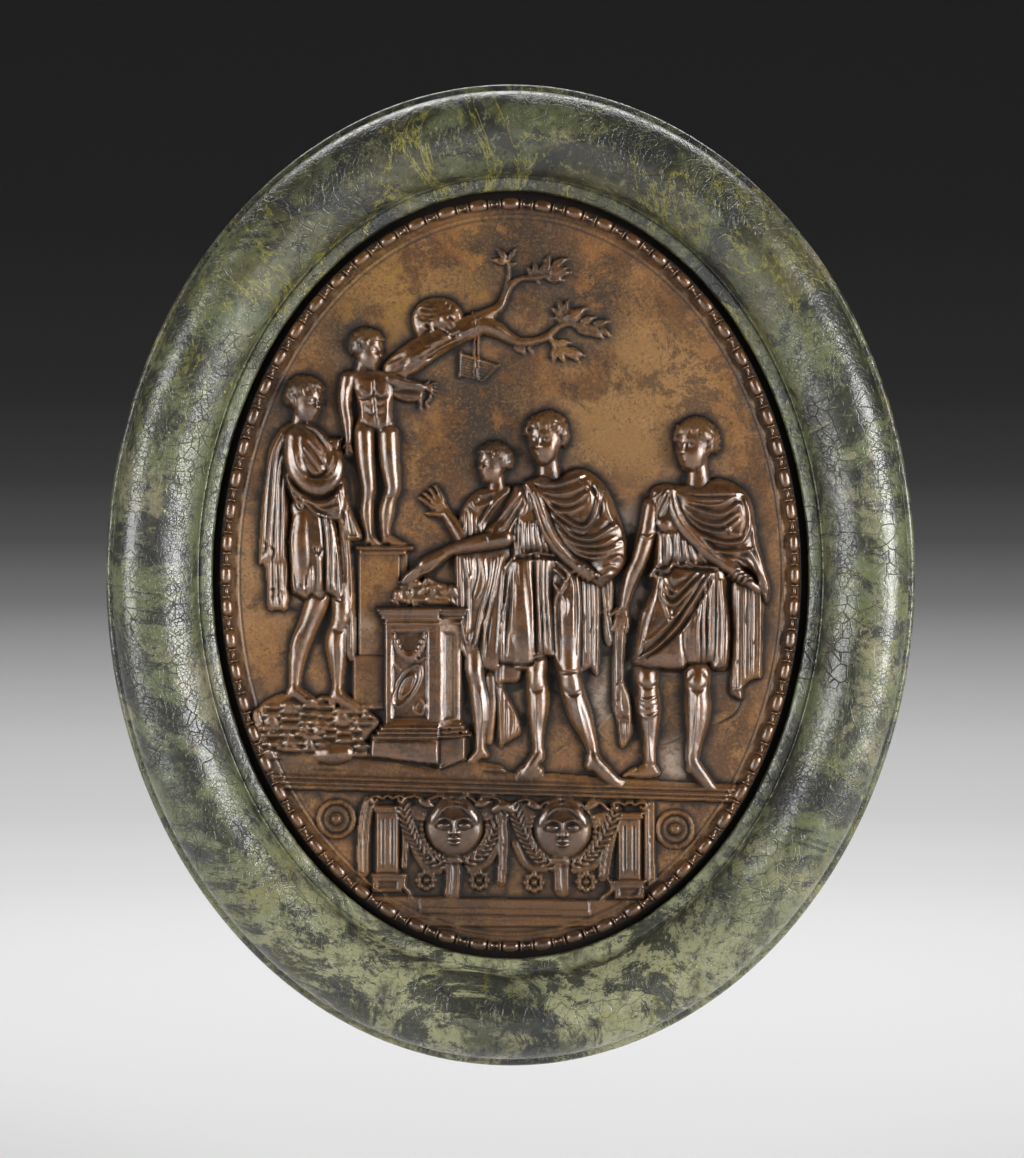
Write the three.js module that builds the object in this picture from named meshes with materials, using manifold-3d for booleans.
// A framed relief plaque: an oval bronze casting of a sacrifice at an altar, set in an oval wooden frame.
// Millimetres, +Z up. The face looks along -Y and the flat back of the frame lies on the plane Y = 0.
// The origin is on the back of the frame at its top, where the plaque is fastened to a wall.
import * as THREE from "three";
import { mergeVertices } from "three/addons/utils/BufferGeometryUtils.js";
import Module from "manifold-3d";

// Driving sizes of the frame and the casting.
const OPENING = { a: 104.3, b: 134.4 }; // half width and half height of the frame's inner edge
const FRAME_WIDTH = 37.4; // of the moulding, seen from the front
const FRAME_DEPTH = 30; // from the wall to the crest of the moulding
const MOUNT_TO_RIM = 16; // from the mount up to the top of the frame
const OVAL_STEPS = 44; // facets round the frame and the casting
const CLEARANCE = 0.35; // between the casting and the rebate
const LIP = { under: 13.4, front: 16.6 }; // heights of the frame's lip over the casting's flange
const FLANGE = { out: 3.2, back: 9, front: 13 }; // the casting's edge under the lip
const RIM = { out: -2.6, width: 6.2, height: 16.4 }; // plain rim that carries the beads
const GROUND = 15.4; // height of the relief's background above the wall plane
const BEADS = { count: 64, inset: 5.9, length: 7.4, radius: 1.9 };
const SUNK = 1.2; // how far blocks reach below the background
const LEDGE_SLOPE = -0.03; // the ledges run slightly downhill to the right

const wasm = await Module();
wasm.setup();

const P = (u, v) => new THREE.Vector2(u, v);
const lerp = THREE.MathUtils.lerp;
const range = (n) => Array.from({ length: n }, (_, i) => i);
const downhill = (u, v) => v + LEDGE_SLOPE * u;

// ---- solids ----

function solid(geometry) {
  const bare = geometry.index ? geometry.toNonIndexed() : geometry.clone();
  bare.deleteAttribute("normal");
  bare.deleteAttribute("uv");
  const merged = mergeVertices(bare, 1e-4);
  const kept = [];
  const index = merged.index.array;
  for (let i = 0; i < index.length; i += 3) {
    const [p, q, r] = [index[i], index[i + 1], index[i + 2]];
    if (p !== q && q !== r && r !== p) kept.push(p, q, r);
  }
  const shape = (triVerts) =>
    new wasm.Manifold(
      new wasm.Mesh({
        numProp: 3,
        vertProperties: new Float32Array(merged.attributes.position.array),
        triVerts: new Uint32Array(triVerts),
      }),
    );
  const made = shape(kept);
  return made.volume() > 0 ? made : shape(kept.reverse());
}

function mesh(name, made, material) {
  const { numProp, numVert, vertProperties, triVerts } = made.getMesh();
  const position = new Float32Array(numVert * 3);
  for (const i of range(numVert)) {
    position.set(vertProperties.subarray(i * numProp, i * numProp + 3), i * 3);
  }
  const geometry = new THREE.BufferGeometry();
  geometry.setAttribute("position", new THREE.BufferAttribute(position, 3));
  geometry.setIndex(new THREE.BufferAttribute(triVerts, 1));
  const part = new THREE.Mesh(geometry, material);
  part.name = name;
  return part;
}

const join = (solids) => solids.reduce((whole, next) => whole.add(next));

function moveEach(geometry, place) {
  const p = geometry.attributes.position;
  const v = new THREE.Vector3();
  for (const i of range(p.count)) {
    v.fromBufferAttribute(p, i);
    place(v);
    p.setXYZ(i, v.x, v.y, v.z);
  }
  return geometry;
}

// A section of [offset, height] points swept round the opening; an offset grows both half axes.
function ovalSweep(section, steps) {
  const far = 100;
  const closed = [...section, section[0]].map(([out, height]) => P(far + out, height));
  const ring = new THREE.LatheGeometry(closed, steps);
  moveEach(ring, (v) => {
    const angle = Math.atan2(v.z, v.x);
    const out = Math.hypot(v.x, v.z) - far;
    v.set((OPENING.a + out) * Math.cos(angle), (OPENING.b + out) * Math.sin(angle), v.y);
  });
  return solid(ring);
}

function ovalPlate(out, low, high, steps) {
  const outline = new THREE.Shape().absellipse(0, 0, OPENING.a + out, OPENING.b + out, 0, 2 * Math.PI);
  const plate = new THREE.ExtrudeGeometry(outline, {
    depth: high - low,
    bevelEnabled: false,
    curveSegments: steps / 2,
  });
  return solid(plate.translate(0, 0, low));
}

// A round bar of changing thickness laid along a smooth line through its points.
function bar(points, radii, rise, { flat = 1, sides = 5, steps = 0 } = {}) {
  const line = new THREE.CatmullRomCurve3(
    points.map((p) => new THREE.Vector3(p.x, p.y, GROUND + rise)),
    false,
    "centripetal",
  );
  const rings = steps || points.length - 1;
  const length = line.getLength();
  const radiusAt = (t) => {
    const x = t * (radii.length - 1);
    const i = Math.min(Math.floor(x), radii.length - 2);
    return lerp(radii[i], radii[i + 1], x - i);
  };
  const [r0, r1] = [radii[0], radii.at(-1)];
  const profile = [
    P(0, (-0.6 * r0) / length),
    ...range(rings + 1).map((i) => {
      const t = i / rings;
      const end = i === 0 || i === rings ? 0.8 : 1;
      return P(radiusAt(t) * end, t);
    }),
    P(0, 1 + (0.6 * r1) / length),
  ];
  const turned = new THREE.LatheGeometry(profile, sides);
  const up = new THREE.Vector3(0, 0, 1);
  moveEach(turned, (v) => {
    const t = THREE.MathUtils.clamp(v.y, 0, 1);
    const along = line.getTangent(t);
    const side = along.clone().cross(up).normalize();
    const centre = line.getPoint(t).addScaledVector(along, (v.y - t) * length);
    const offset = side.multiplyScalar(v.x).addScaledVector(up, v.z * flat);
    v.copy(centre.add(offset));
  });
  return solid(turned);
}

function ball(centre, radiusU, radiusV, radiusOut, rise, { turn = 0, round = 8, tall = 5 } = {}) {
  const sphere = new THREE.SphereGeometry(1, round, tall);
  sphere.scale(radiusU, radiusV, radiusOut);
  sphere.rotateZ(THREE.MathUtils.degToRad(turn));
  return solid(sphere.translate(centre.x, centre.y, GROUND + rise));
}

// A raised slab of any outline.
function slab(outline, top, low = -SUNK) {
  const plate = new THREE.ExtrudeGeometry(new THREE.Shape(outline), {
    depth: top - low,
    bevelEnabled: false,
  });
  return solid(plate.translate(0, 0, GROUND + low));
}

const block = (u0, v0, u1, v1, top) => slab([P(u0, v0), P(u1, v0), P(u1, v1), P(u0, v1)], top);

// A bar-like block between two heights whose plan is a list of [u, rise] corners.
function prism(plan, v0, v1) {
  const outline = new THREE.Shape(plan.map(([u, rise]) => P(u, rise)));
  const post = new THREE.ExtrudeGeometry(outline, { depth: v1 - v0, bevelEnabled: false });
  post.rotateX(Math.PI / 2);
  post.translate(0, v1, 0);
  moveEach(post, (v) => v.set(v.x, v.y, v.z + GROUND));
  return solid(post);
}

// A sheet of cloth between two edges; its folds run from the start of the edges to their ends.
function drape(edgeA, edgeB, folds, rise, { depth = 0.9, steps = 2, thin = 0.4 } = {}) {
  const [a, b] = [edgeA, edgeB].map((edge) => new THREE.SplineCurve(edge));
  const sheet = new THREE.BoxGeometry(1, 1, 1, 2 * folds, steps, 1);
  moveEach(sheet, (v) => {
    const across = v.x + 0.5;
    const at = a.getPoint(v.y + 0.5).lerp(b.getPoint(v.y + 0.5), across);
    const fold = Math.round(2 * folds * across) % 2 ? depth : 0;
    const top = rise * lerp(thin, 1, Math.sin(Math.PI * across)) + fold - 0.5 * depth;
    v.set(at.x, at.y, GROUND + (v.z > 0 ? Math.max(top, 0.25) : -SUNK));
  });
  return solid(sheet);
}

// ---- the figures ----

const toga = { depth: 1.4, steps: 3 };

function head(centre, size, rise, facing, crown = 1) {
  const chin = P(centre.x + 0.38 * size * facing, centre.y - 0.62 * size);
  const brow = P(centre.x + 0.78 * size * facing, centre.y + 0.12 * size);
  const nose = P(centre.x + 0.95 * size * facing, centre.y - 0.2 * size);
  const throat = P(centre.x - 0.1 * size * facing, centre.y - 1.8 * size);
  return [
    ball(centre, size * crown, 1.06 * size * crown, 0.75 * size, rise, { tall: 4 }),
    ball(chin, 0.55 * size, 0.55 * size, 0.6 * size, rise, { round: 6, tall: 3 }),
    bar([brow, nose], [0.12 * size, 0.2 * size], rise + 0.12 * size, { sides: 4 }),
    bar([centre, throat], [0.5 * size, 0.6 * size], 0.5 * rise),
  ];
}

function leg(knee, calf, ankle, toe, width, rise) {
  return [
    bar([knee, calf, ankle], [0.95 * width, 0.9 * width, 0.45 * width], rise, { flat: 0.8 }),
    bar([ankle, toe], [0.5 * width, 0.42 * width], rise - 0.3, { sides: 4 }),
  ];
}

function attendant() {
  const rise = 2.3;
  return [
    ...head(P(-71.3, 61), 6.3, rise, 1),
    bar([P(-71, 48), P(-70, 39), P(-69, 26)], [6.5, 9, 8], rise - 1, { flat: 0.42, sides: 6 }),
    bar([P(-76.5, 46), P(-74, 38.5), P(-67, 32)], [3.6, 3.3, 2.6], rise + 0.8),
    bar([P(-67, 32), P(-61.5, 35), P(-60.8, 45.5)], [2.7, 2.8, 2.6], rise + 0.9),
    drape([P(-79, 51), P(-86.5, 36), P(-87.5, 3)], [P(-76, 49), P(-79.5, 34), P(-79, 5)], 2, 1.2),
    drape([P(-84.5, 4), P(-84.3, -10)], [P(-78.5, 4), P(-78, -11)], 2, 0.9, { steps: 1 }),
    drape([P(-80, 37), P(-70, 31.5), P(-57.5, 35)], [P(-80, 30), P(-71, 21), P(-57.5, 22)], 2, rise + 0.7),
    drape([P(-77.5, 25), P(-77.5, 8), P(-77, -7)], [P(-59, 23), P(-58.5, 8), P(-58, -7)], 4, rise + 0.1),
    drape([P(-60.5, 40), P(-58, 28), P(-58.5, 13)], [P(-57, 40), P(-54, 28), P(-51.5, 12.5)], 2, 1),
    drape([P(-58, 13), P(-57.5, -28)], [P(-54.5, 13), P(-54, -28)], 1, 0.8, { steps: 1 }),
    ...leg(P(-67.5, -6), P(-73, -21), P(-76.3, -38), P(-68.3, -45.2), 4, rise - 0.4),
    ...leg(P(-59.3, -9), P(-61.5, -24), P(-61, -39.5), P(-53, -45.5), 3.8, rise - 0.6),
  ];
}

function statue() {
  const rise = 1.4;
  return [
    ...head(P(-50.3, 79), 5.2, rise, 1),
    bar([P(-49, 68), P(-47.6, 58), P(-47.3, 47)], [7.4, 5.8, 7], rise - 0.2, { flat: 0.45, sides: 6 }),
    bar([P(-56.6, 68), P(-58.3, 58), P(-56.8, 46)], [2.7, 1.9, 1.3], rise, { steps: 3 }),
    bar([P(-42.5, 69), P(-37, 65), P(-28, 65.5)], [2.4, 2.6, 1.2], rise - 0.2, { steps: 3 }),
    drape([P(-40, 66), P(-28, 66)], [P(-39, 61), P(-27.5, 60)], 1, 0.8, { steps: 1 }),
    ...leg(P(-51.3, 46), P(-50.2, 30), P(-49, 15), P(-48.4, 11), 3.1, rise),
    ...leg(P(-43, 46), P(-42.4, 28), P(-43.6, 15), P(-39.8, 10.6), 3.3, rise - 0.1),
  ];
}

function boy() {
  const rise = 1.4;
  return [
    ...head(P(-6, 38.6), 6, rise, -1),
    bar([P(-17, 17), P(-22, 21), P(-25, 26)], [2.2, 1.8, 1.9], rise - 0.3),
    bar([P(-25, 26), P(-29.2, 30)], [2.1, 0.7], 0.7, { sides: 4 }),
    drape([P(-13, 28), P(-18, 16), P(-19, 6)], [P(0, 31), P(-1, 18), P(-2, 7)], 3, rise + 0.7),
    drape([P(-19, 7), P(-18.5, -10), P(-18, -27)], [P(-2, 7), P(-2.5, -10), P(-4, -31)], 4, rise + 0.5),
    ...leg(P(-12.6, -28), P(-11.8, -44), P(-11, -58), P(-12, -62.5), 3, rise - 0.1),
  ];
}

function priest() {
  const rise = 3.1;
  return [
    ...head(P(12.2, 47.3), 6.8, rise, -1, 1.06),
    drape([P(3, 33), P(17, 31), P(31, 35)], [P(7, 20), P(17, 6), P(37, 2)], 4, rise + 1.1, toga),
    bar([P(29, 34), P(38, 22), P(38.5, 8), P(32, 0)], [3, 3.6, 3.6, 3], rise - 1, { flat: 0.8, steps: 5 }),
    bar([P(6, 30), P(12, 18), P(20, 8), P(27, 2.5)], [1.9, 2.1, 2.2, 1.8], rise + 1, { steps: 4 }),
    bar([P(27, 3), P(29.5, -2)], [2.3, 1.9], rise + 0.8, { sides: 4 }),
    drape([P(1, 30), P(0, 17), P(0.5, 6.5)], [P(9, 28), P(12, 17), P(18, 6.5)], 3, rise + 0.1),
    bar([P(3, 29), P(-1, 20), P(-2.6, 13)], [3.4, 3.3, 3], rise + 0.8),
    bar([P(-2.6, 13), P(-12, 11), P(-23, 7.5)], [3.2, 2.9, 1.5], rise + 1.4, { steps: 3 }),
    bar([P(-23, 7.5), P(-31, 3), P(-38.5, -2.8)], [1.6, 2.2, 0.7], rise + 1, { flat: 0.7, steps: 2 }),
    drape([P(-1, 7), P(-3, -10), P(-4, -30)], [P(14.5, 7), P(14.5, -10), P(15.5, -27.5)], 4, rise + 0.3),
    bar([P(17, 7), P(19, -12), P(20.6, -34)], [4.4, 4.6, 2.6], rise - 0.3, { flat: 0.85, steps: 3 }),
    drape([P(23.5, 3), P(24, -14), P(24.5, -33)], [P(31, 2), P(30.5, -14), P(30.5, -33)], 2, 1.4),
    drape([P(-4.5, -28), P(-5, -42), P(-3, -59)], [P(3.5, -28), P(4, -42), P(3.5, -55)], 2, 0.8),
    ...leg(P(8.2, -28), P(7.8, -45), P(9.4, -62), P(5.5, -69.5), 3.8, rise - 0.8),
    ...leg(P(20.6, -34), P(23.7, -48), P(27.8, -62), P(35, -71), 4.1, rise - 0.5),
  ];
}

function magistrate() {
  const rise = 2.8;
  return [
    ...head(P(64.6, 45.5), 6.8, rise, -1),
    drape([P(54, 31), P(68, 29), P(82, 32)], [P(58, 19), P(68, 6), P(85, 8)], 4, rise + 1, toga),
    bar([P(81, 30), P(85, 18), P(86.5, 5), P(88.5, -8)], [2.6, 3, 3, 1.6], rise - 1, { flat: 0.8, steps: 4 }),
    bar([P(56, 29), P(60, 18), P(68, 8), P(77, 3)], [1.8, 2.1, 2.3, 2], rise + 0.9, { steps: 4 }),
    bar([P(77, 3), P(85, -4.5)], [2.4, 1.4], rise + 0.8, { sides: 4 }),
    drape([P(47.5, 29), P(46, 17), P(50.5, 3.5)], [P(57, 28), P(61, 15), P(70, 3)], 3, rise + 0.2),
    bar([P(49.5, 26), P(46.4, 14), P(42, 3), P(38.8, -12)], [3.6, 3, 2.6, 1.5], rise, { steps: 5 }),
    bar([P(38.8, -12), P(37.9, -19)], [1.8, 1.1], rise - 0.6, { sides: 4 }),
    drape([P(50.5, 4), P(47, -12), P(44, -30)], [P(71.5, 4), P(74.5, -12), P(75.5, -31.5)], 4, rise + 0.1),
    bar([P(66, 1), P(58, -17), P(46.5, -28)], [1.5, 1.9, 1.8], rise + 0.6, { sides: 5, steps: 3 }),
    drape([P(78, -4), P(78, -20), P(77.5, -40)], [P(88, -5), P(87.8, -20), P(87.5, -36)], 3, 1.1),
    drape([P(35.8, -18), P(36.3, -38), P(38, -60)], [P(40, -18), P(42, -36), P(42.5, -53)], 1, 0.9),
    ...leg(P(46.6, -29), P(47.2, -47), P(48.4, -62), P(44.5, -68.3), 3.7, rise - 0.8),
    ...leg(P(65, -30), P(65.3, -48), P(63.8, -64), P(69, -73), 3.8, rise - 0.6),
  ];
}

// ---- tree, altar and ground ----

function leafSpray(root, tip, leaves) {
  const along = tip.clone().sub(root);
  const across = P(-along.y, along.x).multiplyScalar(0.26);
  return range(leaves).map((i) => {
    const base = root.clone().addScaledVector(along, (0.7 * i) / leaves);
    const end = base.clone().addScaledVector(along, 0.4).addScaledVector(across, i % 2 ? 1 : -1);
    const turn = THREE.MathUtils.radToDeg(end.clone().sub(base).angle());
    const size = [0.55 * base.distanceTo(end), 1.1, 0.9];
    return ball(base.lerp(end, 0.5), ...size, 0.1, { turn, round: 4, tall: 2 });
  });
}

function tree() {
  const twig = { sides: 4, steps: 3 };
  return [
    bar([P(-41, 73), P(-33, 80), P(-20, 84.5), P(-8, 87.5)], [3.4, 5, 4, 2.6], 0, { flat: 0.35, steps: 4 }),
    bar([P(-9, 89), P(-2.5, 97), P(-0.3, 104), P(-0.8, 111)], [1.7, 1.2, 0.9, 0.6], 0.2, twig),
    bar([P(-0.3, 102.5), P(14, 105)], [0.9, 0.5], 0.2, { sides: 4 }),
    bar([P(-9, 87), P(0, 82.3), P(11, 82.8), P(18, 88)], [2, 1.5, 1.1, 0.8], 0.2, twig),
    ...leafSpray(P(-1, 108), P(-3, 115), 3),
    ...leafSpray(P(12, 104), P(21, 108.5), 4),
    ...leafSpray(P(17, 87), P(18.5, 98), 3),
    ...leafSpray(P(18, 87), P(36, 85), 5),
    ...leafSpray(P(14.5, 83), P(24, 74), 4),
    ball(P(-24.8, 89.3), 8.4, 6.4, 2.9, 0, { turn: -12, tall: 4 }),
    ball(P(-18.6, 86.2), 3.2, 2.4, 2.6, 0.8, { round: 6, tall: 3 }),
    slab([P(-17, 77.5), P(-17.2, 70), P(-10, 68), P(-4.8, 73.5)], 0.9),
    bar([P(-11.3, 90), P(-12.2, 76)], [0.6, 0.5], 0.5, { sides: 4 }),
  ];
}

function altar() {
  const plan = (grow) => [
    [-44 - grow, -SUNK],
    [-17 + grow, -SUNK],
    [-17 + grow, 1.6 + grow * 0.4],
    [-25.5, 4.2 + grow * 0.5],
    [-44 - grow, 3 + grow * 0.5],
  ];
  return [
    prism(plan(0), -56, -14),
    prism(plan(2.8), -13.4, -11.5),
    prism(plan(1.4), -15.6, -13.4),
    prism(plan(1.6), -54.5, -52.5),
    prism(plan(3.2), -57.8, -54.5),
    prism(plan(4.6), -66, -57.8),
    ball(P(-35.8, -38.5), 3, 7.6, 1, 3.6, { turn: -28, tall: 4 }),
    bar([P(-40, -19.5), P(-35.5, -26.5), P(-31, -19.5)], [0.7, 1.1, 0.7], 3.6, { sides: 5, steps: 4 }),
    ...range(4).map((i) => ball(P(-36.5 + 4.4 * i, -9.8 + (i % 2)), 2.8, 2.2, 2, 1, { round: 5, tall: 3 })),
    block(-55, 7, -34.8, 9.6, 2.2),
    block(-53, -28, -38.6, 7.2, 1.5),
    block(-55, -45, -45, -27.8, 2),
  ];
}

function ground() {
  const rocks = range(10).map((i) => {
    const row = Math.floor(i / 5);
    const at = P(-83.5 + 7.8 * (i % 5) + 4 * row, -47.6 - 8 * row);
    return ball(at, 5.6 - 0.4 * (i % 3), 4.8, 2 + 0.3 * (i % 2), 0.2, { round: 5, tall: 3, turn: 17 * i });
  });
  const strip = (u0, u1, v0, v1, top) =>
    slab([[u0, v0], [u1, v0], [u1, v1], [u0, v1]].map(([u, v]) => P(u, downhill(u, v))), top);
  return [
    ...rocks,
    slab([P(-86, -58), P(-60, -62), P(-20, -66), P(20, -68.5), P(80, -71.5), P(79, -76), P(-79, -72)], 1.7),
    strip(-81, 77, -75.6, -73.3, 2.4),
    strip(-79, 75.5, -77.2, -75.4, 1.6),
  ];
}

// ---- the frieze below the ground line ----

function pilaster(u, v) {
  const shaft = block(u - 4.2, v - 12, u + 4.2, v + 9, 1.6);
  const flute = block(u - 0.5, v - 9, u + 0.5, v + 7, 3).translate([0, 0, SUNK + 1]);
  const flutes = [-1.6, 1.6].map((du) => flute.translate([du, 0, 0]));
  return [
    flutes.reduce((left, cut) => left.subtract(cut), shaft),
    block(u - 5, v + 8.6, u + 5, v + 14, 2),
    block(u - 5.2, v - 13.4, u + 5.2, v - 11.6, 2.3),
    block(u - 4.8, v - 20, u + 4.8, v - 13, 1.8),
  ];
}

function mask(u, v) {
  return [
    ball(P(u, v), 9.2, 9.2, 2.9, 0.3, { round: 10, tall: 4 }),
    bar([P(u, v + 2.4), P(u, v - 1.4)], [0.6, 1.2], 2.8, { sides: 4 }),
    ball(P(u, v - 4.6), 2.4, 0.8, 0.8, 2.2, { round: 4, tall: 2 }),
    ...[-1, 1].map((s) => ball(P(u + 3.6 * s, v + 2.2), 1.8, 0.9, 0.8, 2.4, { round: 4, tall: 2 })),
  ];
}

function garland(from, low, to) {
  const half = (a) => a.clone().lerp(low, 0.5).add(P(0, -2.5));
  return bar([from, half(from), low, half(to), to], [1.3, 2, 2.3, 2, 1.3], 0.7, { steps: 4 });
}

function rosette(u, v) {
  const petals = 5;
  const dome = new THREE.LatheGeometry([P(0, -SUNK), P(3.9, -SUNK), P(3.7, 0.5), P(0, 2)], 2 * petals);
  dome.rotateX(Math.PI / 2);
  moveEach(dome, (p) => {
    const notch = Math.floor((Math.atan2(p.y, p.x) * petals) / Math.PI + 0.75) % 2 ? 0.72 : 1;
    p.set(u + notch * p.x, v + notch * p.y, GROUND + p.z);
  });
  return solid(dome);
}

function roundel(u, v) {
  const ring = new THREE.TorusGeometry(6.1, 1, 4, 14);
  return [solid(ring.translate(u, v, GROUND + 0.3)), ball(P(u, v), 2, 2, 1.6, 0.1, { round: 5, tall: 2 })];
}

function frieze() {
  return [
    ...pilaster(-42.8, -92),
    ...pilaster(41.6, -95),
    ...mask(-19.8, -87.6),
    ...mask(18, -88.6),
    garland(P(-36, -82), P(-19.8, -102), P(-3, -83)),
    garland(P(1.5, -84), P(18, -103), P(34.4, -84)),
    ...[-19.8, 17.6].map((u) => bar([P(u, -101), P(u - 0.8, -112)], [1.4, 2.6], 0.4, { sides: 4 })),
    ...[-30, -10.4, 8, 27].map((u) => rosette(u, downhill(u, -107.8))),
    ...roundel(-61, -85.5),
    ...roundel(57.6, -89.2),
    drape([P(-49.8, -79), P(-53.6, -105)], [P(-48.4, -79), P(-49.4, -105)], 1, 0.9, { steps: 1 }),
    drape([P(46.6, -82), P(46.5, -108)], [P(48.8, -82), P(50, -107)], 1, 0.9, { steps: 1 }),
    drape([P(-1.3, -86), P(-4.8, -109)], [P(-0.4, -86), P(1, -109)], 2, 0.9, { steps: 1 }),
    drape([P(34, -91), P(30.4, -106)], [P(36.2, -91), P(34.4, -106)], 1, 0.8, { steps: 1 }),
    block(-37, -116.8, 29, -113.4, 1.6),
    block(-46, -120.4, 38, -116.6, 1),
  ];
}

// ---- the border of beads ----

function beads() {
  const halfAxes = [OPENING.a - BEADS.inset, OPENING.b - BEADS.inset + 1.5];
  const border = new THREE.EllipseCurve(0, 0, ...halfAxes, 0, 2 * Math.PI);
  return range(BEADS.count).map((i) => {
    const along = border.getTangentAt(i / BEADS.count);
    const turn = THREE.MathUtils.radToDeg(Math.atan2(along.y, along.x));
    const size = [0.5 * BEADS.length, BEADS.radius, BEADS.radius];
    const at = border.getPointAt(i / BEADS.count);
    return ball(at, ...size, RIM.height - GROUND, { turn, round: 4, tall: 2 });
  });
}

// ---- the two pieces ----

function reliefPlate() {
  const rim = ovalSweep(
    [
      [RIM.out - RIM.width, GROUND - SUNK],
      [RIM.out, GROUND - SUNK],
      [RIM.out, RIM.height],
      [RIM.out - RIM.width, RIM.height],
    ],
    OVAL_STEPS,
  );
  const base = ovalPlate(FLANGE.out, FLANGE.back, FLANGE.front, OVAL_STEPS);
  const field = ovalPlate(RIM.out - 0.4, FLANGE.front - 1, GROUND, OVAL_STEPS);
  return join([base, field, rim]);
}

function frameRing() {
  const rebate = FLANGE.out + CLEARANCE;
  return ovalSweep(
    [
      [rebate, 0],
      [rebate, LIP.under],
      [0, LIP.under],
      [0, LIP.front],
      [5, 19.6],
      [7, 22.4],
      [12, 27.8],
      [18.5, FRAME_DEPTH],
      [25, 29.6],
      [31, 26.4],
      [34.8, 19],
      [FRAME_WIDTH, 16.4],
      [FRAME_WIDTH, 4],
      [FRAME_WIDTH - 2.6, 0],
    ],
    OVAL_STEPS,
  );
}

const bronze = new THREE.MeshStandardMaterial({ color: 0x6b4526, roughness: 0.38, metalness: 0.9 });
const marbledPaint = new THREE.MeshStandardMaterial({ color: 0x5f7556, roughness: 0.3, metalness: 0 });

const casting = join([
  reliefPlate(),
  ...tree(),
  ...ground(),
  ...frieze(),
  ...altar(),
  ...statue(),
  ...boy(),
  ...attendant(),
  ...magistrate(),
  ...priest(),
  ...beads(),
]);
// Pockets sealed under the drapery are solid metal.
const relief = join(casting.decompose().filter((body) => body.volume() > 0));

// The pieces are drawn face up, then stood up and hung from the mount.
const plaque = new THREE.Group();
plaque.add(mesh("relief_plaque", relief, bronze));
plaque.add(mesh("frame", frameRing(), marbledPaint));
plaque.rotation.x = Math.PI / 2;
plaque.position.z = MOUNT_TO_RIM - (OPENING.b + FRAME_WIDTH);

const hung = new THREE.Group();
hung.add(plaque);
export default hung;
